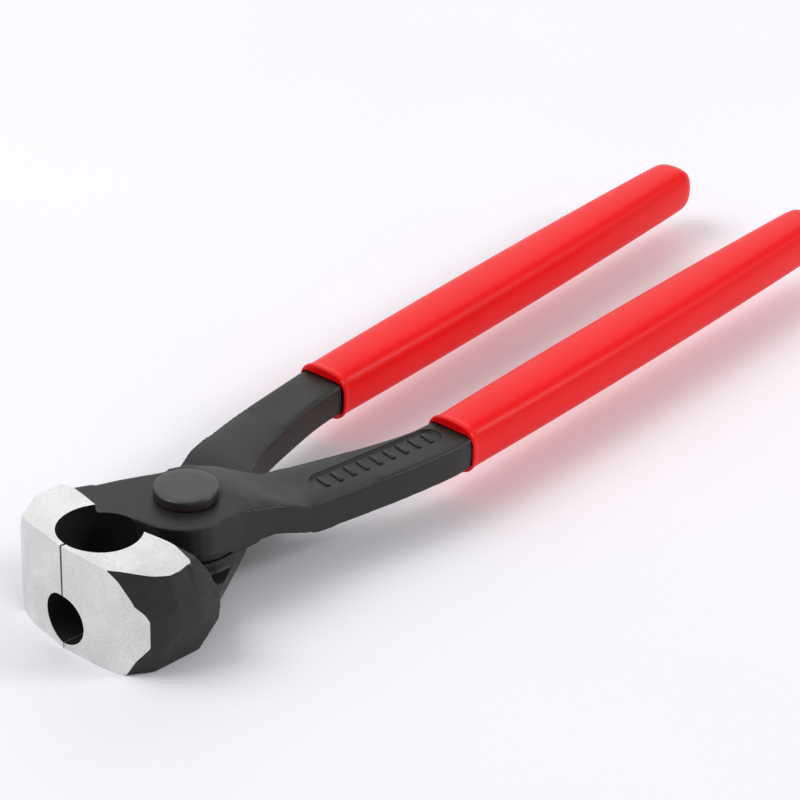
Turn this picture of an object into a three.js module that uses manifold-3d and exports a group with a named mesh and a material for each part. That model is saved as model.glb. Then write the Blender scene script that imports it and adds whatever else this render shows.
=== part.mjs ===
// Pincer-type pliers: two crossed forged levers, a large rivet and two dipped grips.
// Millimetres. X runs along the jaws' split towards the handles, Z is up along the rivet.
// The jaws are shut. The upper lever carries the far jaw (+Y) and the near handle (-Y).
import * as THREE from 'three';
import { mergeVertices } from 'three/addons/utils/BufferGeometryUtils.js';
import Module from 'manifold-3d';

const wasm = await Module();
wasm.setup();

// Head, measured from the rivet's axis and the plane where the levers lap.
const noseReach = 32.7;
const headTop = 12;
const headBottom = 12.3;
const headHalfWidth = 22.3;
const sideLand = 2.7;
const crownDeg = 6;
const faceFlat = 10;
const faceRound = 17.5;
const faceFoldDeg = 6.8;
const headBack = 13.5;
const jawBackX = -9.2;
const cornerSetback = 5.7;
const cornerInset = 2.4;
const topTaper = 2.4;
const bottomTaper = 3.6;

// Mouth and small hole, both shared by the two jaws.
const mouthRadiusTop = 8.9;
const mouthRadiusBottom = 6.2;
const mouthWallTop = 1.2;
const mouthWallBottom = 7.3;
const holeRadius = 5.6;
const holeDrop = 5.3;
const splitGapTop = 0.6;
const splitGapBottom = 0.3;

// Lap at the rivet.
const plateTop = 9.8;
const plateThickness = 7;
const lapRadius = 11;
const bossRadius = 13.1;
const shoulderRadius = 15.2;
const rivetHeadRadius = 6.7;
const rivetHeadHeight = 2;
const rivetShaftRadius = 4.4;
const clearance = 0.3;

// Handles.
const handleSkewDeg = 5.75;
const shankThickness = 7.4;
const shankRise = 0.6;
const shankDraft = 0.4;
const partingLand = 0.4;
const handleSpread = 18;
const tangHalfWidth = 4.7;
const tangHalfHeight = 3.4;
const gripStart = 62.5;
const gripLength = 134;
const gripRootWidth = 12.6;
const gripMidWidth = 13.8;
const gripTipWidth = 10.6;
const gripHeight = 11.2;
const gripSplayDeg = 0.64;
const tangShort = 14;
const tangRooted = 6;
const lipGrowth = 0.55;
const lipEnd = 2.4;
const gripBoxiness = 3.6;

// Recessed panel with plain ribs on the upper lever's shank.
const panelDepth = 0.5;
const panelLength = 34;
const panelWidth = 6;
const ribCount = 9;
const ribWidth = 1.1;
const ribShare = 0.62;
const panelPlace = [26.5, -10.6];
const panelTurnDeg = -10.2;

// How the plate's top eases down beyond the rivet: each slope starts a little further out.
const fallSlopes = [0.12, 0.27, 0.45];
const fallStep = 1.7;
const shoulderEnd = 28;

const degrees = Math.PI / 180;
const farAway = 300;

const shapeOf = (points) => new THREE.Shape(points.map(([x, y]) => new THREE.Vector2(x, y)));

function toSolid(geometry) {
  const bare = geometry.clone();
  bare.deleteAttribute('normal');
  bare.deleteAttribute('uv');
  const merged = mergeVertices(bare, 1e-4);
  const mesh = new wasm.Mesh({
    numProp: 3,
    vertProperties: new Float32Array(merged.attributes.position.array),
    triVerts: new Uint32Array(merged.index.array),
  });
  return new wasm.Manifold(mesh);
}

function toMesh(solid, name, colour, roughness, metalness) {
  const { vertProperties, triVerts } = solid.getMesh();
  const geometry = new THREE.BufferGeometry();
  geometry.setAttribute('position', new THREE.BufferAttribute(new Float32Array(vertProperties), 3));
  geometry.setIndex(new THREE.BufferAttribute(new Uint32Array(triVerts), 1));
  geometry.computeVertexNormals();
  const material = new THREE.MeshStandardMaterial({ color: colour, roughness, metalness });
  const mesh = new THREE.Mesh(geometry, material);
  mesh.name = name;
  return mesh;
}

// A prism standing along Z, or lying along X or Y.
function uprightPrism(points, zLow, zHigh) {
  const geometry = new THREE.ExtrudeGeometry(shapeOf(points), { depth: zHigh - zLow, bevelEnabled: false });
  return toSolid(geometry.translate(0, 0, zLow));
}

function alongPrism(pointsYZ, xLow, xHigh) {
  const geometry = new THREE.ExtrudeGeometry(shapeOf(pointsYZ), { depth: xHigh - xLow, bevelEnabled: false });
  geometry.rotateX(Math.PI / 2);
  geometry.rotateZ(Math.PI / 2);
  return toSolid(geometry.translate(xLow, 0, 0));
}

function cylinderUp(radius, zLow, zHigh, segments = 48, x = 0, y = 0) {
  const geometry = new THREE.CylinderGeometry(radius, radius, zHigh - zLow, segments);
  geometry.rotateX(Math.PI / 2);
  return toSolid(geometry.translate(x, y, (zLow + zHigh) / 2));
}

// Everything on the far side of a plane, as a big box to cut away.
function slabBeyond(point, normal) {
  const geometry = new THREE.BoxGeometry(farAway, farAway, farAway);
  geometry.translate(0, 0, farAway / 2);
  const turn = new THREE.Quaternion();
  turn.setFromUnitVectors(new THREE.Vector3(0, 0, 1), new THREE.Vector3(...normal).normalize());
  geometry.applyQuaternion(turn);
  return toSolid(geometry.translate(...point));
}

// Turned over about X, which makes the lower lever from the upper one's shape.
const turnedOver = (solid) => solid.rotate([180, 0, 0]);
const skewed = (solid) => solid.rotate([0, 0, handleSkewDeg]);

// A smooth edge through a few points.
function curved(points) {
  const curve = new THREE.SplineCurve(points.map(([x, y]) => new THREE.Vector2(x, y)));
  return curve.getPoints(4 * (points.length - 1)).map((point) => [point.x, point.y]);
}

// The plan of the face: flat near the split, folded back, then rounded away outwards.
function faceOutline() {
  const fold = faceFoldDeg * degrees;
  const points = [[-noseReach, 0]];
  const flatX = -noseReach + faceFlat * Math.tan(fold);
  const centreX = flatX + faceRound * Math.cos(fold);
  const centreY = faceFlat - faceRound * Math.sin(fold);
  const roundSteps = 8;
  for (let i = 0; i <= roundSteps; i += 1) {
    const angle = fold + (60 * degrees * i) / roundSteps;
    points.push([centreX - faceRound * Math.cos(angle), centreY + faceRound * Math.sin(angle)]);
  }
  return points;
}

// Everything in front of both jaws' faces.
function faceCut() {
  const half = faceOutline();
  const mirrored = half.slice(1).reverse().map(([x, y]) => [x, -y]);
  const [endX, endY] = half[half.length - 1];
  const outline = [
    [-farAway, -farAway],
    [endX, -farAway],
    ...mirrored,
    ...half,
    [endX, farAway],
    [-farAway, farAway],
  ];
  return uprightPrism(outline, -farAway / 2, farAway / 2);
}

// A bevelled half of the jaw block, above or below the level where the two meet.
function jawHalf(height, taper, isTop) {
  const back = [];
  const backSteps = 5;
  for (let i = 0; i <= backSteps; i += 1) {
    const angle = (142 + (38 * i) / backSteps) * degrees;
    back.push([headBack * Math.cos(angle), headBack * Math.sin(angle)]);
  }
  const outline = [
    [-noseReach - 6, -12],
    [-headBack, -12],
    ...back.reverse(),
    [jawBackX, headHalfWidth - 8.3],
    [jawBackX - 0.2, headHalfWidth - 2],
    [-13.9, headHalfWidth - 0.5],
    [-18, headHalfWidth],
    [-22, headHalfWidth - 0.4],
    [-27, headHalfWidth - cornerInset],
    [-noseReach - 6, headHalfWidth - 8],
  ];
  const geometry = new THREE.ExtrudeGeometry(shapeOf(outline), {
    depth: 2 * sideLand,
    bevelThickness: height - sideLand,
    bevelSize: taper,
    bevelOffset: -taper,
    bevelSegments: 1,
  });
  const keep = isTop ? slabBeyond([0, 0, 0], [0, 0, 1]) : slabBeyond([0, 0, 0], [0, 0, -1]);
  return toSolid(geometry.translate(0, 0, -sideLand)).intersect(keep);
}

// A jaw on +Y, before the mouth, the hole and the split are cut.
function jawBlock() {
  const cornerX = -noseReach + cornerSetback;
  const cornerY = headHalfWidth - cornerInset;
  const crownTilt = crownDeg * degrees;
  const planes = [
    [[cornerX, cornerY, sideLand], [-0.706, 0.651, 0.28]],
    [[cornerX + 1.4, cornerY - 2, headTop - 1.5], [-0.6, 0.75, 0.28]],
    [[cornerX + 5, cornerY + 0.3, headTop - 1.9], [-0.46, 0.86, 0.22]],
    [[cornerX, cornerY, -sideLand], [-0.49, 0.82, -0.29]],
    [[0, 9, headTop], [0, Math.sin(crownTilt), Math.cos(crownTilt)]],
  ];
  const rough = jawHalf(headTop, topTaper, true).add(jawHalf(headBottom, bottomTaper, false));
  return planes.reduce((block, [point, normal]) => block.subtract(slabBeyond(point, normal)), rough);
}

const aboveLevel = (z) => slabBeyond([0, 0, z], [0, 0, 1]);

// The far jaw steps down to the plate behind its crown, and falls away outside the plate.
function farJaw() {
  const crownEnd = slabBeyond([-bossRadius - 4.3, headHalfWidth - 14, 0], [0.98, -0.2, 0]);
  const outside = slabBeyond([-bossRadius - 1.5, headHalfWidth - 4.7, plateTop], [0.33, 0.73, 0.6]);
  const behindCrown = slabBeyond([-bossRadius - 2.8, 0, 0], [1, 0, 0]);
  return jawBlock()
    .subtract(crownEnd.intersect(aboveLevel(plateTop)))
    .subtract(outside.intersect(behindCrown).intersect(aboveLevel(0)))
    .subtract(splitCut());
}

// The near jaw's back slopes down clear of the upper lever's plate.
function nearJaw() {
  const back = slabBeyond([-bossRadius + 0.1, -headHalfWidth + 3.7, headTop - 2.5], [0.912, 0.246, 0.326]);
  const plateRoom = back.intersect(aboveLevel(plateTop - plateThickness - clearance));
  return jawBlock().subtract(splitCut()).mirror([0, 1, 0]).subtract(plateRoom);
}

// Plate and neck of the upper lever, from its jaw across the rivet to the shank.
function plateBar() {
  const arc = [];
  const arcSteps = 8;
  for (let i = 0; i <= arcSteps; i += 1) {
    const angle = (172 + (74 * i) / arcSteps) * degrees;
    arc.push([bossRadius * Math.cos(angle), bossRadius * Math.sin(angle)]);
  }
  const outline = [
    [-20.5, 6],
    [-15.2, 3.6],
    ...arc,
    [4, -12.4],
    [11, -13.6],
    [14, 0],
    [12, 6.4],
    [3.3, 10.8],
    [-13.3, 18.4],
    [-20.5, 17],
  ];
  const bar = uprightPrism(outline, plateTop - plateThickness, plateTop);
  const lap = cylinderUp(lapRadius, clearance / 2, plateTop - 1);
  return bar.add(lap);
}

// Each shank's edges as seen from above, on the near handle's side.
const shankEnd = gripStart - 1;
const nearShank = {
  outer: curved([[9, -13], [20, -16], [32, -19.2], [46, -22.2], [57, -24], [shankEnd, -24.1]]),
  inner: curved([[shankEnd, -12.2], [55, -11.2], [46, -8.4], [36, -4.4], [28, -1.2], [20, 1.8]]),
  shoulderInner: [[12, 6.4], [2, 9], [-5, 9]],
};
const farShank = {
  outer: curved([[9, -15.2], [14, -17.2], [20, -18.9], [28, -20.5], [38, -22], [50, -23], [shankEnd, -23.8]]),
  inner: curved([[shankEnd, -12.2], [54, -11.6], [45, -10], [34, -7.6], [27, -5], [22, -2], [16, 3.6]]),
  shoulderInner: [[12, 6.4], [2, 9], [-5, 9]],
};

// The stretch where the plate's level drops to the shank's.
function shoulder(edges) {
  const half = shankThickness / 2;
  const profile = [
    [-5, plateTop - plateThickness],
    [3, clearance / 2],
    [shoulderRadius, clearance / 2],
    [shoulderRadius, shankRise - half],
    [shoulderEnd, shankRise - half],
    [shoulderEnd, shankRise + half],
    [shoulderEnd - 8, plateTop],
    [-5, plateTop],
  ];
  const side = new THREE.ExtrudeGeometry(shapeOf(profile), { depth: 60, bevelEnabled: false });
  side.rotateX(Math.PI / 2);
  const drop = toSolid(side.translate(0, 30, 0));
  const reaches = ([x]) => x <= shoulderEnd;
  const outline = [
    [-5, -12],
    [3, -12.3],
    ...edges.outer.filter(reaches),
    ...edges.inner.filter(reaches),
    ...edges.shoulderInner,
  ];
  return drop.intersect(uprightPrism(outline, -farAway / 2, farAway / 2));
}

// The plate's top falls away beyond the rivet's head, down to the shank.
function topFall(headingDeg, start, slope) {
  const heading = headingDeg * degrees;
  const point = [start * Math.cos(heading), start * Math.sin(heading), plateTop];
  const shankTop = slabBeyond([0, 0, shankRise + shankThickness / 2], [0, 0, 1]);
  return slabBeyond(point, [slope * Math.cos(heading), slope * Math.sin(heading), 1]).intersect(shankTop);
}

// The underside is level at the lap, then falls gently to the shank's own underside.
function underFall() {
  const run = shoulderRadius - 3;
  const drop = shankThickness / 2 - shankRise + clearance / 2;
  const beyondLap = slabBeyond([run, 0, 0], [1, 0, 0]);
  const falling = slabBeyond([run, 0, clearance / 2], [-drop, 0, -10]).intersect(beyondLap);
  return slabBeyond([0, 0, clearance / 2], [0, 0, -1]).subtract(beyondLap).add(falling);
}

// Shank and tang of a handle, in the handles' own direction, drawn as the near one.
function handleBar(edges) {
  const half = shankThickness / 2;
  const shank = new THREE.ExtrudeGeometry(shapeOf([...edges.outer, ...edges.inner, [12, 2]]), {
    depth: partingLand,
    bevelThickness: half - partingLand / 2,
    bevelSize: shankDraft,
    bevelOffset: -shankDraft,
    bevelSegments: 1,
  });
  shank.translate(0, 0, shankRise - partingLand / 2);
  const tangLength = gripLength - tangShort;
  const tang = new THREE.BoxGeometry(tangLength + tangRooted, tangHalfWidth * 2, tangHalfHeight * 2);
  tang.translate((tangLength - tangRooted) / 2, 0, 0);
  tang.rotateZ(-gripSplayDeg * degrees);
  tang.translate(gripStart, -handleSpread, shankRise);
  return toSolid(shank).add(toSolid(tang));
}

// Where the other lever lies: under the lap, and past the middle of the crotch.
function otherLeversRoom() {
  const overhang = shankThickness / 2 - shankRise + clearance;
  const pastMiddle = [
    [-farAway / 2, -clearance / 2],
    [farAway / 2, -clearance / 2],
    [farAway / 2, farAway],
    [-farAway / 2, farAway],
  ];
  const underLap = cylinderUp(shoulderRadius, -farAway / 2, clearance / 2, 64);
  const underSide = uprightPrism(pastMiddle, -farAway / 2, clearance / 2);
  const crotch = uprightPrism(pastMiddle, 0, overhang).subtract(
    cylinderUp(shoulderRadius - clearance, -farAway / 2, farAway / 2, 64),
  );
  return underLap.add(underSide).add(crotch);
}

// All the falls in one heading, from a distance off the rivet's axis outwards.
function easedFall(headingDeg, start) {
  const falls = fallSlopes.map((slope, i) => topFall(headingDeg, start + i * fallStep, slope));
  return wasm.Manifold.union(falls);
}

// Everything behind a lever's jaw, drawn as the upper lever's.
function leverBack(edges) {
  return shoulder(edges)
    .add(handleBar(edges))
    .add(plateBar())
    .subtract(otherLeversRoom())
    .subtract(easedFall(-8, rivetHeadRadius + clearance))
    .subtract(easedFall(-66, rivetHeadRadius + 1.5))
    .subtract(underFall());
}

function mouthCut() {
  const topX = -noseReach + mouthWallTop + mouthRadiusTop;
  const bottomX = -noseReach + mouthWallBottom + mouthRadiusBottom;
  const slant = (topX - bottomX) / (headTop + headBottom);
  const flare = (mouthRadiusTop - mouthRadiusBottom) / (headTop + headBottom);
  const spare = 2;
  const radii = [mouthRadiusTop + spare * flare, mouthRadiusBottom - spare * flare];
  const cone = new THREE.CylinderGeometry(...radii, headTop + headBottom + 2 * spare, 64);
  cone.rotateX(Math.PI / 2);
  cone.translate(0, 0, (headTop - headBottom) / 2);
  const lean = new THREE.Matrix4().makeShear(0, 0, 0, 0, 0, 0);
  lean.elements[8] = slant;
  cone.applyMatrix4(lean);
  return toSolid(cone.translate(topX - slant * headTop, 0, 0));
}

function holeCut() {
  const reach = mouthWallBottom + mouthRadiusBottom;
  const hole = new THREE.CylinderGeometry(holeRadius, holeRadius, reach + 4, 48);
  hole.rotateZ(Math.PI / 2);
  return toSolid(hole.translate(-noseReach - 4 + (reach + 4) / 2, 0, -holeDrop));
}

// What lies past one jaw's half of the split, with the gap wider at the top.
function splitCut() {
  return alongPrism(
    [
      [-farAway / 2, -farAway / 2],
      [splitGapBottom / 2, -farAway / 2],
      [splitGapBottom / 2, -headBottom],
      [splitGapTop / 2, headTop],
      [splitGapTop / 2, farAway / 2],
      [-farAway / 2, farAway / 2],
    ],
    -farAway,
    0,
  );
}

function panelCut() {
  const radius = panelWidth / 2;
  const shape = new THREE.Shape();
  shape.absarc(panelLength - radius, 0, radius, -Math.PI / 2, Math.PI / 2, false);
  shape.absarc(radius, 0, radius, Math.PI / 2, Math.PI * 1.5, false);
  const pocket = new THREE.ExtrudeGeometry(shape, { depth: 4, bevelEnabled: false, curveSegments: 12 });
  let cut = toSolid(pocket);
  const pitch = (panelLength - panelWidth) / (ribCount - 1);
  for (let i = 0; i < ribCount; i += 1) {
    const rib = new THREE.BoxGeometry(ribWidth, panelWidth * ribShare, panelDepth * 0.8);
    rib.translate(radius + i * pitch, 0, panelDepth * 0.4);
    cut = cut.subtract(toSolid(rib));
  }
  const floor = shankRise + shankThickness / 2 - panelDepth;
  return skewed(cut.rotate([0, 0, panelTurnDeg]).translate([...panelPlace, floor]));
}

// The lower lever's neck leans in towards its underside.
function neckChamfer() {
  const nearRivet = slabBeyond([shoulderRadius, 0, 0], [-1, 0, 0]);
  return slabBeyond([-7.2, -15, -plateTop], [0.5, -0.82, -0.26]).intersect(nearRivet);
}

function rivetHole() {
  return cylinderUp(rivetShaftRadius + clearance, -farAway / 2, farAway / 2);
}

function lever(isUpper) {
  const jaw = isUpper ? farJaw() : nearJaw();
  const back = isUpper ? leverBack(nearShank) : turnedOver(leverBack(farShank));
  const body = jaw.add(skewed(back));
  return (isUpper ? body : body.subtract(neckChamfer()))
    .subtract(faceCut())
    .subtract(mouthCut())
    .subtract(holeCut())
    .subtract(rivetHole());
}

function rivet() {
  const shaftTop = plateTop + clearance;
  const headRise = shaftTop + rivetHeadHeight;
  const points = [
    [0, -headRise],
    [rivetHeadRadius - 1.4, -headRise],
    [rivetHeadRadius - 0.5, -headRise + 0.7],
    [rivetHeadRadius - 0.5, -shaftTop],
    [rivetShaftRadius, -shaftTop],
    [rivetShaftRadius, shaftTop],
    [rivetHeadRadius, shaftTop],
    [rivetHeadRadius, headRise - 0.3],
    [rivetHeadRadius - 0.3, headRise],
    [0, headRise],
  ].map(([r, y]) => new THREE.Vector2(r, y));
  const geometry = new THREE.LatheGeometry(points, 48);
  geometry.rotateX(Math.PI / 2);
  return toSolid(geometry);
}

// Widths along the grip: a rolled lip, a slim neck, a fuller middle and a rounded tip.
function gripStations() {
  const stations = [];
  const push = (along, width, height) => stations.push([along, width, height]);
  const curve = (s) => {
    const root = 2 * (s - 0.5) * (s - 1);
    const mid = -4 * s * (s - 1);
    const tip = 2 * s * (s - 0.5);
    return gripRootWidth * root + gripMidWidth * mid + gripTipWidth * tip;
  };
  push(0, gripRootWidth + lipGrowth - 0.8, gripHeight + lipGrowth - 0.8);
  push(0.5, gripRootWidth + lipGrowth, gripHeight + lipGrowth);
  push(1.6, gripRootWidth + lipGrowth, gripHeight + lipGrowth);
  push(lipEnd, gripRootWidth, gripHeight);
  const tipRadius = gripTipWidth / 2;
  const bodySteps = 9;
  for (let i = 1; i <= bodySteps; i += 1) {
    const along = lipEnd + ((gripLength - tipRadius - lipEnd) * i) / bodySteps;
    push(along, curve(along / gripLength), gripHeight);
  }
  const last = stations[stations.length - 1];
  const tipSteps = 5;
  for (let i = 1; i <= tipSteps; i += 1) {
    const angle = (i / tipSteps) * 84 * degrees;
    const shrink = Math.cos(angle) ** 0.75;
    push(gripLength - tipRadius + tipRadius * Math.sin(angle), last[1] * shrink, last[2] * shrink);
  }
  return stations;
}

function superellipse(count, power) {
  const points = [];
  for (let i = 0; i < count; i += 1) {
    const angle = (i / count) * 2 * Math.PI;
    const c = Math.cos(angle);
    const s = Math.sin(angle);
    const y = Math.sign(c) * Math.abs(c) ** (2 / power) / 2;
    const z = Math.sign(s) * Math.abs(s) ** (2 / power) / 2;
    points.push([y, z]);
  }
  return points;
}

function grip() {
  const stations = gripStations();
  const steps = stations.length - 1;
  const shape = shapeOf(superellipse(32, gripBoxiness));
  const geometry = new THREE.ExtrudeGeometry(shape, { depth: steps, steps, bevelEnabled: false });
  const position = geometry.attributes.position;
  for (let i = 0; i < position.count; i += 1) {
    const [along, width, height] = stations[Math.round(position.getZ(i))];
    const across = position.getX(i) * width;
    const up = position.getY(i) * height;
    position.setXYZ(i, along, across, up);
  }
  const socketLength = gripLength - tangShort + clearance;
  const socket = new THREE.BoxGeometry(
    socketLength + 5,
    2 * (tangHalfWidth + clearance),
    2 * (tangHalfHeight + clearance),
  );
  socket.translate(socketLength / 2 - 2.5, 0, 0);
  return toSolid(geometry).subtract(toSolid(socket));
}

function placedGrip(isUpper) {
  const near = grip().rotate([0, 0, -gripSplayDeg]).translate([gripStart, -handleSpread, shankRise]);
  return skewed(isUpper ? near : turnedOver(near));
}

const upper = lever(true).subtract(panelCut());
const lower = lever(false);

const black = 0x36352f;
const red = 0xe4262c;
const tool = new THREE.Group();
tool.add(toMesh(upper, 'upper_lever', black, 0.5, 0.6));
tool.add(toMesh(lower, 'lower_lever', black, 0.5, 0.6));
tool.add(toMesh(rivet(), 'pivot_rivet', 0x3b3a37, 0.35, 0.7));
tool.add(toMesh(placedGrip(true), 'near_grip', red, 0.35, 0));
tool.add(toMesh(placedGrip(false), 'far_grip', red, 0.35, 0));

// The origin is under the middle of the tool, on the surface it lies on.
const bounds = new THREE.Box3().setFromObject(tool);
const middle = bounds.getCenter(new THREE.Vector3());
tool.position.set(-middle.x, -middle.y, -bounds.min.z);

export default tool;
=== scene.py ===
import math

import bpy
from mathutils import Matrix, Vector


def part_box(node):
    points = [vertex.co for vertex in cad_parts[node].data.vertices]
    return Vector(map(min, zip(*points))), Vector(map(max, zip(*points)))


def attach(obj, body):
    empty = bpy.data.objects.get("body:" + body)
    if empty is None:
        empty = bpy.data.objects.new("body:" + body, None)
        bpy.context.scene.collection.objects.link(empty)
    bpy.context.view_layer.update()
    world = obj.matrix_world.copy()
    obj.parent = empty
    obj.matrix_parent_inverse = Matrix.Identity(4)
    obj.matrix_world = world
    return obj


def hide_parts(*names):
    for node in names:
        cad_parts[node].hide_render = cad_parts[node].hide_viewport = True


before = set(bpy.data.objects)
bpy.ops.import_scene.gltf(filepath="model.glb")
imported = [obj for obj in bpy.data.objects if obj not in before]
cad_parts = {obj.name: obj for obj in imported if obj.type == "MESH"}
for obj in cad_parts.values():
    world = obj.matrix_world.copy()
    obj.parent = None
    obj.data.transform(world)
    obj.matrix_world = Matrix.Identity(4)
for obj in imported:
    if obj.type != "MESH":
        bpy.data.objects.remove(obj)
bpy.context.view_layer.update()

mm = 0.001
rivetLow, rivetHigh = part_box("pivot_rivet")
pivot = (rivetLow + rivetHigh) / 2
skewTurn = Matrix.Rotation(math.radians(5.75), 3, "Z")  # the handles sit askew of the jaws' split
hair = 0.01 * mm


# A place given in millimetres, as metres in the frame.
def at(x, y, z):
    return pivot + Vector((x, y, z)) * mm


def deselectAll():
    bpy.ops.object.select_all(action="DESELECT")


def workOn(piece):
    deselectAll()
    piece.select_set(True)
    bpy.context.view_layer.objects.active = piece


def startEdit(piece, mode="FACE"):
    workOn(piece)
    bpy.ops.object.mode_set(mode="EDIT")
    bpy.ops.mesh.select_mode(type=mode)


def endEdit():
    bpy.ops.object.mode_set(mode="OBJECT")


# Selects the faces, edges or vertices of the piece being edited that pass a test.
def pick(piece, kind, test):
    bpy.ops.mesh.select_mode(type={"polygons": "FACE", "edges": "EDGE", "vertices": "VERT"}[kind])
    bpy.ops.mesh.select_all(action="DESELECT")
    bpy.ops.object.mode_set(mode="OBJECT")
    mesh = piece.data
    for item in getattr(mesh, kind):
        if kind == "edges":
            ends = [mesh.vertices[i].co for i in item.vertices]
            item.select = test(ends[0], ends[1])
        elif kind == "polygons":
            item.select = test(item.center, item.normal)
        else:
            item.select = test(item.co)
    bpy.ops.object.mode_set(mode="EDIT")


def named(name, finish=None):
    piece = bpy.context.object
    piece.name = name
    piece.data.name = name
    if finish:
        piece.data.materials.clear()
        piece.data.materials.append(finish)
    return piece


# Puts the object's place into its mesh.
def settle(piece):
    workOn(piece)
    bpy.ops.object.transform_apply(location=True, rotation=True, scale=True)
    return piece


def addBlock(name, low, high, finish=None):
    deselectAll()
    bpy.ops.mesh.primitive_cube_add(size=1, location=(low + high) / 2)
    bpy.context.object.scale = high - low
    return settle(named(name, finish))


# Shears a block off along a plane and closes the cut.
def shear(piece, point, normal):
    startEdit(piece)
    bpy.ops.mesh.select_all(action="SELECT")
    facing = Vector(normal).normalized()
    bpy.ops.mesh.bisect(plane_co=point, plane_no=facing, use_fill=True, clear_outer=True)
    endEdit()


def applyModifier(piece, kind, **settings):
    workOn(piece)
    modifier = piece.modifiers.new(kind.lower(), kind)
    for key, value in settings.items():
        setattr(modifier, key, value)
    bpy.ops.object.modifier_apply(modifier=modifier.name)
    return piece


# Joins, subtracts or intersects another piece, which is used up.
def combine(piece, other, operation):
    settings = {"operation": operation, "object": other}
    applyModifier(piece, "BOOLEAN", solver="MANIFOLD", material_mode="TRANSFER", **settings)
    bpy.data.objects.remove(other)
    return piece


def mirrorAcrossSplit(piece):
    startEdit(piece)
    bpy.ops.mesh.select_all(action="SELECT")
    bpy.ops.transform.resize(value=(1, -1, 1), center_override=pivot)
    bpy.ops.mesh.normals_make_consistent(inside=False)
    endEdit()


def smoothShade(piece, angle):
    workOn(piece)
    bpy.ops.object.shade_smooth_by_angle(angle=math.radians(angle))


# A wrapped socket, so that shader sums read as sums.
class Signal:
    def __init__(self, finish, socket):
        self.finish = finish
        self.socket = socket

    def math(self, operation, first, second):
        return self.finish.add("ShaderNodeMath", {"operation": operation}, {0: first, 1: second})

    def __add__(self, other):
        return self.math("ADD", self, other)

    __radd__ = __add__

    def __mul__(self, other):
        return self.math("MULTIPLY", self, other)

    __rmul__ = __mul__


# A material with its shader, and the one way to add nodes to it.
class Finish:
    def __init__(self, name, fixed):
        self.material = bpy.data.materials.new(name)
        self.material.use_nodes = True
        self.tree = self.material.node_tree
        self.shader = self.tree.nodes["Principled BSDF"]
        for socket, value in fixed.items():
            self.shader.inputs[socket].default_value = value

    def add(self, kind, settings, sockets, out=0):
        node = self.tree.nodes.new(kind)
        for key, value in settings.items():
            if key == "stops":
                self.setStops(node.color_ramp, value)
            else:
                setattr(node, key, value)
        for key, value in sockets.items():
            self.plug(node.inputs[key], value)
        return Signal(self, node.outputs[out])

    def setStops(self, ramp, stops):
        while len(ramp.elements) < len(stops):
            ramp.elements.new(0.5)
        for element, (place, shade) in zip(ramp.elements, stops):
            element.position = place
            element.color = (shade, shade, shade, 1)

    def plug(self, socket, value):
        if isinstance(value, Signal):
            self.tree.links.new(value.socket, socket)
        else:
            socket.default_value = value

    def feed(self, socket, value):
        self.plug(self.shader.inputs[socket], value)

    # Places on the piece in millimetres, turned and stretched along a grain.
    def places(self, turn=(0, 0, 0), stretch=(1, 1, 1)):
        coordinate = self.add("ShaderNodeTexCoord", {}, {}, "Object")
        scale = [s / mm for s in stretch]
        settings = {"vector_type": "POINT"}
        turned = self.add("ShaderNodeMapping", settings, {"Vector": coordinate, "Rotation": turn})
        return self.add("ShaderNodeVectorMath", {"operation": "MULTIPLY"}, {0: turned, 1: scale})

    def noise(self, where, scale, detail=3.0, roughness=0.5):
        sockets = {"Vector": where, "Scale": scale, "Detail": detail, "Roughness": roughness}
        return self.add("ShaderNodeTexNoise", {}, sockets, "Fac")

    def ramp(self, value, stops):
        return self.add("ShaderNodeValToRGB", {"stops": stops}, {"Fac": value})

    def blendColours(self, share, first, second):
        settings = {"data_type": "RGBA"}
        return self.add("ShaderNodeMix", settings, {0: share, 6: first, 7: second}, 2)

    def bump(self, height, distance):
        sockets = {"Height": height, "Distance": distance * mm, "Strength": 1.0}
        self.feed("Normal", self.add("ShaderNodeBump", {}, sockets))


def colour(red, green, blue):
    def linear(value):
        share = value / 255
        return share / 12.92 if share <= 0.04045 else ((share + 0.055) / 1.055) ** 2.4

    return (linear(red), linear(green), linear(blue), 1)


# Black phosphate over forging scale: near black, satin, faintly pebbled and mottled.
def makeForgedBlack():
    look = {
        "dark": colour(25, 26, 24),
        "light": colour(38, 39, 36),
        "rub": colour(84, 84, 78),
    }
    finish = Finish("forgedBlack", {"Metallic": 0.25})
    where = finish.places()
    patches = finish.noise(where, 0.16, 4)
    grain = finish.noise(where, 2.6, 3)
    pits = finish.noise(where, 0.9, 2)
    mottle = finish.ramp(patches * 0.6 + grain * 0.4, [(0.34, 0), (0.66, 1)])
    body = finish.blendColours(mottle, look["dark"], look["light"])
    rubbed = finish.ramp(finish.noise(where, 0.5, 5, 0.7), [(0.66, 0), (0.8, 0.35)])
    finish.feed("Base Color", finish.blendColours(rubbed, body, look["rub"]))
    finish.feed("Roughness", 0.42 + mottle * 0.14)
    finish.bump(grain * 0.55 + pits * 0.45, 0.05)
    return finish.material


# The bored mouth and hole get a dull black, painted darker than the forging as shade, with a random mottle.
def makeMouthPaintedShade():
    finish = Finish("mouthPaintedShade", {"Metallic": 0.0, "Specular IOR Level": 0.25})
    where = finish.places()
    paintedShadeMottle = finish.noise(where, 0.5, 3)
    grain = finish.noise(where, 3.0, 2)
    # Both tones are painted shade: darker than the forging black, as the deep mouth lies in shadow.
    finish.feed("Base Color", finish.blendColours(paintedShadeMottle, colour(8, 8, 8), colour(24, 23, 21)))
    finish.feed("Roughness", 0.6 + grain * 0.15)
    finish.bump(grain, 0.03)
    return finish.material


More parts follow.
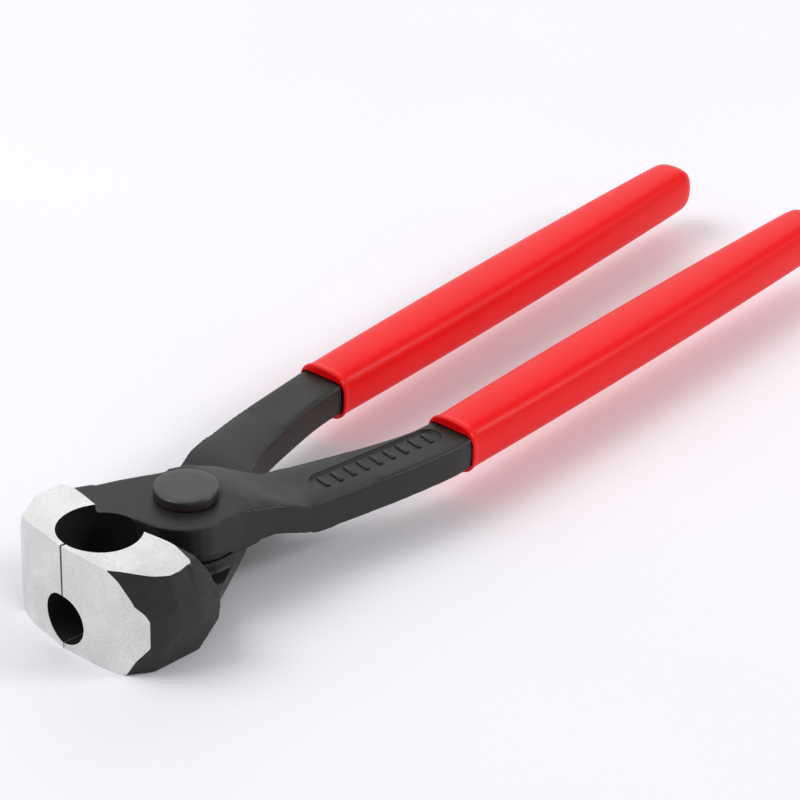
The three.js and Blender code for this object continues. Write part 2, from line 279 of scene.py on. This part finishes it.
# Belt-ground bare steel: pale, with short slanting scuffs.
def makeGroundSteel():
    look = {
        "pale": colour(241, 240, 238),
        "dull": colour(214, 213, 211),
    }
    finish = Finish("groundSteel", {"Metallic": 1.0})
    plain = finish.places()
    slant = finish.places((math.radians(28), math.radians(20), math.radians(35)), (0.16, 2.2, 2.2))
    scuffs = finish.ramp(finish.noise(slant, 1.5, 4, 0.6), [(0.4, 0), (0.68, 1)])
    clouds = finish.noise(plain, 0.12, 3)
    sparkle = finish.noise(plain, 3.5, 2)
    shade = finish.ramp(scuffs * 0.35 + clouds * 0.65, [(0.3, 0), (0.75, 1)])
    finish.feed("Base Color", finish.blendColours(shade, look["dull"], look["pale"]))
    finish.feed("Roughness", 0.34 + scuffs * 0.12 + sparkle * 0.1)
    finish.bump(scuffs * 0.6 + sparkle * 0.4, 0.02)
    return finish.material


# Turned and blackened rivet steel, with faint rings and a brown oil tint low on the rim.
def makeRivetSteel():
    look = {
        "dark": colour(44, 43, 45),
        "light": colour(64, 63, 66),
        "tint": colour(74, 42, 22),
    }
    finish = Finish("rivetSteel", {"Metallic": 0.35})
    where = finish.places()
    middle = [c / mm for c in pivot]
    centred = finish.add("ShaderNodeVectorMath", {"operation": "SUBTRACT"}, {0: where, 1: middle})
    flat = finish.add("ShaderNodeVectorMath", {"operation": "MULTIPLY"}, {0: centred, 1: (1, 1, 0)})
    radius = finish.add("ShaderNodeVectorMath", {"operation": "LENGTH"}, {0: flat}, "Value")
    rings = finish.add("ShaderNodeMath", {"operation": "SINE"}, {0: radius * 21.0})
    cloud = finish.noise(where, 0.35, 4)
    grain = finish.noise(where, 3.0, 2)
    body = finish.blendColours(cloud * 0.8 + grain * 0.2, look["dark"], look["light"])
    height = finish.add("ShaderNodeSeparateXYZ", {}, {"Vector": centred}, "Z")
    low = finish.ramp(height * 0.05, [(0.49, 1), (0.58, 0)])
    finish.feed("Base Color", finish.blendColours(low * 0.6, body, look["tint"]))
    finish.feed("Roughness", 0.22 + cloud * 0.1)
    finish.bump(rings * 0.12 + grain * 0.5, 0.02)
    return finish.material


# Dipped vinyl: saturated red with a soft gloss and a barely uneven skin.
def makeGripVinyl():
    look = {
        "deep": colour(228, 2, 6),
        "bright": colour(242, 5, 10),
    }
    fixed = {"Specular IOR Level": 0.2}
    finish = Finish("gripVinyl", fixed)
    where = finish.places()
    cloud = finish.noise(where, 0.05, 3)
    ripple = finish.noise(where, 0.22, 2)
    pores = finish.noise(where, 4.0, 2)
    finish.feed("Base Color", finish.blendColours(cloud, look["deep"], look["bright"]))
    finish.feed("Roughness", 0.3 + ripple * 0.1 + pores * 0.04)
    finish.bump(ripple * 0.9 + pores * 0.1, 0.05)
    return finish.material


def makeFloorPaper():
    finish = Finish("floorPaper", {"Roughness": 0.7, "Specular IOR Level": 0.2})
    where = finish.places()
    fibre = finish.noise(where, 0.6, 3)
    cloud = finish.noise(where, 0.01, 2)
    tone = finish.blendColours(cloud * 0.6 + fibre * 0.4, colour(236, 235, 239), colour(244, 243, 247))
    finish.feed("Base Color", tone)
    return finish.material


forgedBlack = makeForgedBlack()
mouthPaintedShade = makeMouthPaintedShade()
groundSteel = makeGroundSteel()
rivetSteel = makeRivetSteel()
gripVinyl = makeGripVinyl()
print("finishes ready")


jaw = {
    "noseReach": 32.7,
    "top": 12.0,
    "bottom": 12.3,
    "halfWidth": 22.3,
    "sideLand": 2.7,
    "faceFlat": 10.0,
    "faceRound": 17.5,
    "faceFold": 6.8,
    "crownRound": 105.0,
    "mouthRadius": 8.9,
    "mouthFoot": 6.2,
    "mouthWall": 1.2,
    "mouthFootWall": 7.3,
    "holeRadius": 5.6,
    "holeDrop": 5.3,
    "splitTop": 0.3,
    "splitFoot": 0.15,
}


# The forged block of a jaw, drawn as the far one, with stock left to grind off.
def jawForging(isUpper):
    nose = -jaw["noseReach"] - 2.5
    half = jaw["halfWidth"]
    land = jaw["sideLand"]
    block = addBlock("jawForging", at(nose, 0.2, -jaw["bottom"]), at(-9.4, half - 0.02, 14))
    combine(block, addBlock("splitStock", at(nose, -2.5, -jaw["bottom"]), at(-14.2, 0.4, 14)), "UNION")
    if isUpper:
        shear(block, at(-26.8, half - 2.3, land), (-0.5, 0.82, 0.28))
    else:
        shear(block, at(-30.4, 14.5, 10.7), (-0.68, 0.73, 0.175))
        shear(block, at(-30.7, 12.3, 11.35), (-0.45, 0.5, 0.6))
        shear(block, at(-25.6, 17.9, 10.5), (-0.6, 0.75, 0.28))
        shear(block, at(-22, 20.2, 10.1), (-0.46, 0.86, 0.22))
    shear(block, at(-26.6, half - 1.9, -land - 1.3), (-0.49, 0.82, -0.29))
    shear(block, at(-27, half - 2.5, 0), (-0.43, 0.9, 0))
    shear(block, at(-22, half - 0.3, 0), (-0.3, 0.95, 0))
    shear(block, at(-13.9, half - 0.3, 0), (0.2, 0.98, 0))
    shear(block, at(-9.4, half - 2, land), (0.22, 0.9, 0.3))
    shear(block, at(-18, half - 0.15, land), (0, 1, 0.26))
    shear(block, at(-18, half - 0.15, -land), (0, 1, -0.37))
    shear(block, at(-9.4, 14, -land), (0.93, 0, -0.36))
    shear(block, at(-9.4, 14, land), (0.93, 0, 0.26))
    shear(block, at(-13.5, 0, -jaw["bottom"]), (0.96, -0.27, 0))
    return block


# Cuts away the part of a block that lies beyond a plane.
def cutAway(lever, low, high, point, normal):
    room = addBlock("room", low, high)
    shear(room, point, [-part for part in normal])
    combine(lever, room, "DIFFERENCE")


# Behind the far jaw's crown the forging steps down to the plate, falls away outside it,
# and rounds into the mouth.
def trimUpper(lever):
    plateTop = 9.8
    cutAway(lever, at(-24, -30, plateTop), at(-7.2, 30, 20), at(-17.4, 8.3, 0), (0.98, -0.2, 0))
    cutAway(lever, at(-15.9, 10, 0), at(4, 30, 20), at(-14.6, 17.6, plateTop), (0.33, 0.73, 0.6))
    relief = addBlock("relief", Vector((-6, -4.2, 0)) * mm, Vector((0, 4.2, 6)) * mm)
    heading = Matrix.Rotation(math.radians(43), 4, "Z") @ Matrix.Rotation(math.radians(48), 4, "Y")
    relief.matrix_world = Matrix.Translation(at(-13.9, 6.6, plateTop + 0.1)) @ heading
    settle(relief)
    shear(relief, at(-17.3, 0, 0), (-1, 0, 0))
    combine(lever, relief, "DIFFERENCE")


# The near jaw's back slopes down clear of the upper lever's plate.
def trimLower(lever):
    foot = 2.6
    cutAway(lever, at(-22, -30, foot), at(8, 0.5, 20), at(-13, -18.6, 9.5), (0.912, 0.246, 0.326))
    cutAway(lever, at(-24, -30, foot), at(8, -2, 20), at(-15.5, -14.7, 11.1), (0.27, -0.19, 0.944))
    cutAway(lever, at(-24, -30, foot), at(8, -2, 20), at(-17.2, -20.6, 10.1), (0.45, -0.6, 0.62))


# What the grinding leaves: everything behind the faces and under the crown.
def groundEnvelope():
    reach = 210
    low = at(-jaw["noseReach"], -60, -30)
    envelope = addBlock("groundEnvelope", low, at(reach, 60, jaw["top"]), groundSteel)
    fold = math.radians(jaw["faceFold"])
    flatX = -jaw["noseReach"] + jaw["faceFlat"] * math.tan(fold)
    centreX = flatX + jaw["faceRound"] * math.cos(fold)
    centreY = jaw["faceFlat"] - jaw["faceRound"] * math.sin(fold)
    for side in (-1, 1):
        for step in range(17):
            angle = fold + math.radians(step * 4)
            across = math.sin(angle) * side
            ahead = -math.cos(angle)
            point = at(centreX + jaw["faceRound"] * ahead, centreY * side + jaw["faceRound"] * across, 0)
            shear(envelope, point, (ahead, across, 0))
        for step in range(1, 9):
            angle = math.radians(1.4 * step)
            across = math.sin(angle) * side
            height = jaw["top"] - jaw["crownRound"] + jaw["crownRound"] * math.cos(angle)
            shear(envelope, at(0, jaw["crownRound"] * across, height), (0, across, math.cos(angle)))
    return envelope


# The leaning, tapering mouth that both jaws share.
def mouthCutter():
    deselectAll()
    tall = jaw["top"] + jaw["bottom"] + 4
    flare = (jaw["mouthRadius"] - jaw["mouthFoot"]) / (jaw["top"] + jaw["bottom"])
    topX = -jaw["noseReach"] + jaw["mouthWall"] + jaw["mouthRadius"]
    footX = -jaw["noseReach"] + jaw["mouthFootWall"] + jaw["mouthFoot"]
    bpy.ops.mesh.primitive_cone_add(
        vertices=128,
        radius1=(jaw["mouthFoot"] - 2 * flare) * mm,
        radius2=(jaw["mouthRadius"] + 2 * flare) * mm,
        depth=tall * mm,
        location=at(footX, 0, (jaw["top"] - jaw["bottom"]) / 2),
    )
    # The cut mouth walls take the black that is painted darker as shade.
    cone = settle(named("mouthCutter", mouthPaintedShade))
    lean = (topX - footX) / (jaw["top"] + jaw["bottom"])
    startEdit(cone)
    pick(cone, "vertices", lambda place: place.z > pivot.z)
    bpy.ops.transform.translate(value=(lean * tall * mm, 0, 0))
    bpy.ops.mesh.select_all(action="SELECT")
    bpy.ops.transform.translate(value=(-lean * 2 * mm, 0, 0))
    endEdit()
    return cone


def holeCutter():
    deselectAll()
    reach = jaw["mouthFootWall"] + jaw["mouthFoot"] + 4
    bpy.ops.mesh.primitive_cylinder_add(
        vertices=96,
        radius=jaw["holeRadius"] * mm,
        depth=reach * mm,
        rotation=(0, math.pi / 2, 0),
        location=at(-jaw["noseReach"] - 4 + reach / 2, 0, -jaw["holeDrop"]),
    )
    # The cut hole walls take the black that is painted darker as shade.
    return settle(named("holeCutter", mouthPaintedShade))


# What lies past the far jaw's half of the split.
def splitCutter():
    block = addBlock("splitCutter", at(-60, -40, -40), at(-14, jaw["splitTop"], 40), groundSteel)
    fall = (jaw["splitTop"] - jaw["splitFoot"]) / (jaw["top"] + jaw["bottom"])
    shear(block, at(0, jaw["splitTop"], jaw["top"]), (0, 1, -fall))
    return block


gripSizes = {
    "start": 62.5,
    "length": 134.0,
    "spread": 18.0,
    "rise": 0.6,
    "splay": 0.64,
    "rootWidth": 12.6,
    "midWidth": 13.8,
    "tipWidth": 10.6,
    "height": 11.2,
    "corner": 3.6,
    "lip": 0.55,
    "cageShare": 1.014,
    "entryWidth": 12.2,
    "entryHeight": 7.9,
    "entryDepth": 2.6,
    "socketWidth": 10.0,
    "socketHeight": 7.4,
    "socketLength": 120.4,
}


def gripWidth(share):
    root = 2 * (share - 0.5) * (share - 1)
    middle = -4 * share * (share - 1)
    tip = 2 * share * (share - 0.5)
    return gripSizes["rootWidth"] * root + gripSizes["midWidth"] * middle + gripSizes["tipWidth"] * tip


# Each ring of the cage: how far along the grip, how wide, how high.
def gripRings():
    lip = gripSizes["lip"]
    root = gripSizes["rootWidth"]
    tall = gripSizes["height"]
    length = gripSizes["length"]
    rings = [
        (0.05, root + lip - 0.2, tall + lip - 0.2),
        (0.35, root + lip, tall + lip),
        (1.0, root + lip, tall + lip),
        (1.5, root + 0.15, tall + 0.15),
        (2.2, root, tall),
    ]
    tipRadius = gripSizes["tipWidth"] / 2
    lipEnd = rings[-1][0]
    count = 14
    for i in range(1, count + 1):
        along = lipEnd + (length - tipRadius - lipEnd) * i / count
        rings.append((along, gripWidth(along / length), tall))
    wide, high = rings[-1][1], rings[-1][2]
    for degrees in (20, 38, 54, 68, 80):
        angle = math.radians(degrees)
        shrink = math.cos(angle) ** 0.7
        rings.append((length - tipRadius + tipRadius * math.sin(angle), wide * shrink, high * shrink))
    return rings


def buildGrip(name, node, body, isUpper):
    startInset = 0.7
    wide = gripSizes["rootWidth"] + gripSizes["lip"] - startInset
    high = gripSizes["height"] + gripSizes["lip"] - startInset
    cage = gripSizes["cageShare"]
    half = Vector((0, wide / 2, high / 2)) * mm * cage
    grip = addBlock(name, Vector((-1, 0, 0)) * mm - half, half, gripVinyl)
    startEdit(grip, "EDGE")
    pick(grip, "edges", lambda a, b: abs(a.x - b.x) > 0.5 * mm)
    bpy.ops.mesh.bevel(offset=gripSizes["corner"] * mm, segments=2, profile=0.5)
    pick(grip, "vertices", lambda place: place.x < -0.5 * mm)
    bpy.ops.mesh.delete(type="VERT")
    pick(grip, "polygons", lambda centre, normal: True)
    along = 0.0
    for nextAlong, nextWide, nextHigh in gripRings():
        bpy.ops.mesh.extrude_region_move(TRANSFORM_OT_translate={"value": ((nextAlong - along) * mm, 0, 0)})
        bpy.ops.transform.resize(value=(1, nextWide / wide, nextHigh / high))
        wide, high, along = nextWide, nextHigh, nextAlong
    bpy.ops.mesh.inset(thickness=0.5 * mm, depth=0)
    pick(grip, "edges", lambda a, b: a.x < hair and b.x < hair)
    bpy.ops.mesh.edge_face_add()
    bpy.ops.mesh.inset(thickness=0.25 * mm, depth=0)
    bpy.ops.mesh.select_all(action="SELECT")
    bpy.ops.mesh.normals_make_consistent(inside=False)
    endEdit()
    applyModifier(grip, "SUBSURF", levels=3, render_levels=3)
    cutSockets(grip)
    placeAlongGrip(grip, isUpper)
    grip.name = name
    smoothShade(grip, 40)
    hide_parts(node)
    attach(grip, body)
    print(name, len(grip.data.polygons), "faces")


# A snug entry for the shank, and a long socket for the tang.
def cutSockets(grip):
    for wide, high, start, end, corner in (
        (gripSizes["entryWidth"], gripSizes["entryHeight"], -4, gripSizes["entryDepth"], 1.9),
        (gripSizes["socketWidth"], gripSizes["socketHeight"], -1, gripSizes["socketLength"], 0.9),
    ):
        low = Vector((start, -wide / 2, -high / 2)) * mm
        socket = addBlock("socket", low, Vector((end, wide / 2, high / 2)) * mm, gripVinyl)
        applyModifier(socket, "BEVEL", width=corner * mm, segments=5)
        combine(grip, socket, "DIFFERENCE")


shank = {
    "bodyEnd": 61.0,
    "entry": 2.2,
    "voxel": 0.36,
    "softening": 5,
    "neck": (9, 40),
    "neckSoftening": 14,
    "creaseSoftening": 160,
    "pocketFill": ((0, -3.3, -1), (34.4, 3.3, 0.5)),
    "tangHalfWidth": 4.7,
    "tangHalfHeight": 3.4,
    "tangLength": 120.0,
    "tangRooted": 3.0,
    "tangRound": 1.2,
}


# A merged copy of the CAD lever, cut off where the grip begins.
def leverCopy(node):
    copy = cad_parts[node].copy()
    copy.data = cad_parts[node].data.copy()
    bpy.context.scene.collection.objects.link(copy)
    copy.parent = None
    copy.hide_render = False
    for key in list(copy.keys()):
        del copy[key]
    copy.data.materials.clear()
    copy.data.materials.append(forgedBlack)
    startEdit(copy)
    bpy.ops.mesh.select_all(action="SELECT")
    bpy.ops.mesh.remove_doubles(threshold=0.002 * mm)
    endEdit()
    shear(copy, at(-16.5, 0, 0), (-1, 0, 0))
    along = skewTurn @ Vector((1, 0, 0))
    end = pivot + along * shank["bodyEnd"] * mm
    shear(copy, end, along)

    def onEnd(centre, normal):
        return normal.dot(along) > 0.99 and abs((centre - end).dot(along)) < 2 * hair

    startEdit(copy)
    pick(copy, "polygons", onEnd)
    bpy.ops.mesh.extrude_region_move(TRANSFORM_OT_translate={"value": along * shank["entry"] * mm})
    endEdit()
    return copy


# A piece drawn along X from a grip's mouth is set in the grip's place and direction.
def placeAlongGrip(piece, isUpper):
    side = -1 if isUpper else 1
    rise = gripSizes["rise"] if isUpper else -gripSizes["rise"]
    spot = Matrix.Translation(Vector((gripSizes["start"], side * gripSizes["spread"], rise)) * mm)
    turn = Matrix.Rotation(math.radians(side * gripSizes["splay"]), 4, "Z")
    piece.matrix_world = Matrix.Translation(pivot) @ skewTurn.to_4x4() @ spot @ turn
    return settle(piece)


def tang(isUpper):
    wide, high = shank["tangHalfWidth"], shank["tangHalfHeight"]
    low = Vector((-shank["tangRooted"], -wide, -high)) * mm
    block = addBlock("tang", low, Vector((shank["tangLength"], wide, high)) * mm, forgedBlack)
    applyModifier(block, "BEVEL", width=shank["tangRound"] * mm, segments=3)
    return placeAlongGrip(block, isUpper)


# Irons out the creases where the plate falls to the shank, and keeps the edges beside them.
def easeNeck(lever):
    start, end = (pivot.x + distance * mm for distance in shank["neck"])
    startEdit(lever)
    pick(lever, "polygons", lambda centre, normal: start < centre.x)
    bpy.ops.mesh.vertices_smooth(factor=0.5, repeat=shank["neckSoftening"])
    pick(lever, "polygons", lambda centre, normal: start < centre.x < end and abs(normal.z) > 0.8)
    bpy.ops.mesh.vertices_smooth(factor=0.5, repeat=shank["creaseSoftening"])
    endEdit()


def buildLever(name, node, body, isUpper):
    lever = leverCopy(node)
    forging = jawForging(isUpper)
    if not isUpper:
        mirrorAcrossSplit(forging)
    combine(lever, forging, "UNION")
    if not isUpper:
        trimLower(lever)
    else:
        trimUpper(lever)
        pocketFill = addBlock("pocketFill", *(Vector(end) * mm for end in shank["pocketFill"]))
        combine(lever, placePanel(pocketFill), "UNION")
    applyModifier(lever, "REMESH", mode="VOXEL", voxel_size=shank["voxel"] * mm)
    applyModifier(lever, "SMOOTH", factor=0.5, iterations=shank["softening"])
    easeNeck(lever)
    print(name, "forged:", len(lever.data.polygons), "faces")
    combine(lever, groundEnvelope(), "INTERSECT")
    split = splitCutter()
    if not isUpper:
        mirrorAcrossSplit(split)
    combine(lever, split, "DIFFERENCE")
    combine(lever, mouthCutter(), "DIFFERENCE")
    combine(lever, holeCutter(), "DIFFERENCE")
    if isUpper:
        stampPanel(lever)
    combine(lever, tang(isUpper), "UNION")
    lever.name = name
    lever.data.name = name
    smoothShade(lever, 32)
    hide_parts(node)
    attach(lever, body)
    print(name, "ground and cut:", len(lever.data.polygons), "faces")
    return lever


panel = {
    "length": 34.0,
    "width": 6.0,
    "depth": 0.5,
    "ribs": 9,
    "ribWidth": 1.1,
    "ribLength": 3.8,
    "x": 26.5,
    "y": -10.6,
    "top": 4.3,
    "turn": -10.2,
}


def placePanel(piece):
    turn = Matrix.Rotation(math.radians(panel["turn"]), 4, "Z")
    spot = Matrix.Translation(Vector((panel["x"], panel["y"], panel["top"] - panel["depth"])) * mm)
    piece.matrix_world = Matrix.Translation(pivot) @ skewTurn.to_4x4() @ spot @ turn
    return settle(piece)


def stampPanel(lever):
    radius = panel["width"] / 2
    low = Vector((0, -radius, 0)) * mm
    high = Vector((panel["length"], radius, 3)) * mm
    pocket = addBlock("pocket", low, high, forgedBlack)
    startEdit(pocket, "EDGE")
    pick(pocket, "edges", lambda a, b: abs(a.z - b.z) > 1 * mm)
    bpy.ops.mesh.bevel(offset=radius * 0.98 * mm, segments=8)
    pick(pocket, "edges", lambda a, b: a.z < hair and b.z < hair)
    bpy.ops.mesh.bevel(offset=0.35 * mm, segments=3)
    endEdit()
    combine(lever, placePanel(pocket), "DIFFERENCE")
    pitch = (panel["length"] - panel["width"]) / (panel["ribs"] - 1)
    for i in range(panel["ribs"]):
        x = radius + i * pitch
        half = panel["ribLength"] / 2
        low = Vector((x - panel["ribWidth"] / 2, -half, -0.6)) * mm
        high = Vector((x + panel["ribWidth"] / 2, half, 0.36)) * mm
        rib = addBlock("rib", low, high, forgedBlack)
        applyModifier(rib, "BEVEL", width=0.25 * mm, segments=3)
        combine(lever, placePanel(rib), "UNION")


upperLever = buildLever("upperLever", "upper_lever", "upper_body", True)
lowerLever = buildLever("lowerLever", "lower_lever", "lower_body", False)


rivetSizes = {
    "headRadius": 6.7,
    "headTop": 12.1,
    "headFoot": 10.1,
    "shaftRadius": 4.4,
    "edgeRound": 0.35,
    "ringStep": 1.6,
}


def buildRivet():
    deselectAll()
    radius = rivetSizes["headRadius"] * mm
    tall = 2 * rivetSizes["headTop"] * mm
    bpy.ops.mesh.primitive_cylinder_add(vertices=96, radius=radius, depth=tall, location=pivot)
    rivet = settle(named("pivotRivet", rivetSteel))
    foot = rivetSizes["headFoot"] * mm
    for height in (foot, -foot):
        startEdit(rivet)
        bpy.ops.mesh.select_all(action="SELECT")
        bpy.ops.mesh.bisect(plane_co=pivot + Vector((0, 0, height)), plane_no=(0, 0, 1))
        endEdit()
    startEdit(rivet)
    narrow = rivetSizes["shaftRadius"] / rivetSizes["headRadius"]

    def onNeck(centre, normal):
        return abs(normal.z) < 0.1 and abs(centre.z - pivot.z) < foot * 0.5

    pick(rivet, "polygons", onNeck)
    bpy.ops.mesh.inset(thickness=0.02 * mm, depth=0)
    bpy.ops.transform.resize(value=(narrow, narrow, 1), center_override=pivot)
    endEdit()
    startEdit(rivet, "EDGE")
    rim = (rivetSizes["headRadius"] - 0.1) * mm

    def atTop(place):
        return abs(abs(place.z - pivot.z) - rivetSizes["headTop"] * mm) < hair

    def onRim(place):
        return (place - pivot).to_2d().length > rim and atTop(place)

    pick(rivet, "edges", lambda a, b: onRim(a) and onRim(b))
    bpy.ops.mesh.bevel(offset=rivetSizes["edgeRound"] * mm, segments=4)
    pick(rivet, "polygons", lambda centre, normal: abs(normal.z) > 0.99 and atTop(centre))
    for _ in range(2):
        bpy.ops.mesh.inset(thickness=rivetSizes["ringStep"] * mm, depth=0)
    endEdit()
    smoothShade(rivet, 32)
    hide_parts("pivot_rivet")
    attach(rivet, "lower_body")


buildRivet()
print("rivet made")


buildGrip("nearGrip", "near_grip", "upper_body", True)
buildGrip("farGrip", "far_grip", "lower_body", False)


studio = {
    "floorSize": 6.0,
    "skyStrength": 0.5,
    "lights": {
        "keyLight": (6.5, 0.7, (-0.5, 0.45, 0.95)),
        "backLight": (3.6, 1.2, (0.8, 0.8, 0.62)),
        "edgeLight": (4.4, 0.3, (0.62, -0.7, 0.62)),
    },
}
view = {
    "azimuth": -44.909,
    "elevation": 30.611,
    "roll": 1.212,
    "across": 43.278,
    "up": 27.628,
    "distance": 715.09,
    "lens": 158.58,
}


def setFloor():
    deselectAll()
    bpy.ops.mesh.primitive_plane_add(size=studio["floorSize"], location=(0, 0, 0))
    floor = settle(named("floor", makeFloorPaper()))


def addSoftLight(name, power, size, place):
    deselectAll()
    bpy.ops.object.light_add(type="AREA", location=place)
    light = bpy.context.object
    light.name = name
    light.data.energy = power
    light.data.size = size
    light.rotation_euler = (Vector((0, 0, 0)) - Vector(place)).to_track_quat("-Z", "Y").to_euler()


def setSky():
    world = bpy.data.worlds.new("studioSky")
    bpy.context.scene.world = world
    world.use_nodes = True
    background = world.node_tree.nodes["Background"]
    background.inputs["Color"].default_value = (0.97, 0.97, 1.0, 1)
    background.inputs["Strength"].default_value = studio["skyStrength"]


def setCamera():
    azimuth = math.radians(view["azimuth"])
    elevation = math.radians(view["elevation"])
    roll = math.radians(view["roll"])
    level = Vector((math.cos(azimuth), math.sin(azimuth), 0))
    away = Vector((math.sin(azimuth), -math.cos(azimuth), 0))
    back = away * math.cos(elevation) + Vector((0, 0, math.sin(elevation)))
    rise = back.cross(level)
    right = level * math.cos(roll) + rise * math.sin(roll)
    up = rise * math.cos(roll) - level * math.sin(roll)
    place = pivot + (right * view["across"] + up * view["up"] + back * view["distance"]) * mm
    bpy.ops.object.camera_add(location=place)
    camera = bpy.context.object
    camera.rotation_euler = Matrix((right, up, back)).transposed().to_euler()
    camera.data.lens = view["lens"]
    bpy.context.scene.camera = camera


setFloor()
for lightName, (power, size, place) in studio["lights"].items():
    addSoftLight(lightName, power, size, place)
setSky()
setCamera()
bpy.context.scene.view_settings.view_transform = "Standard"
print("studio set")
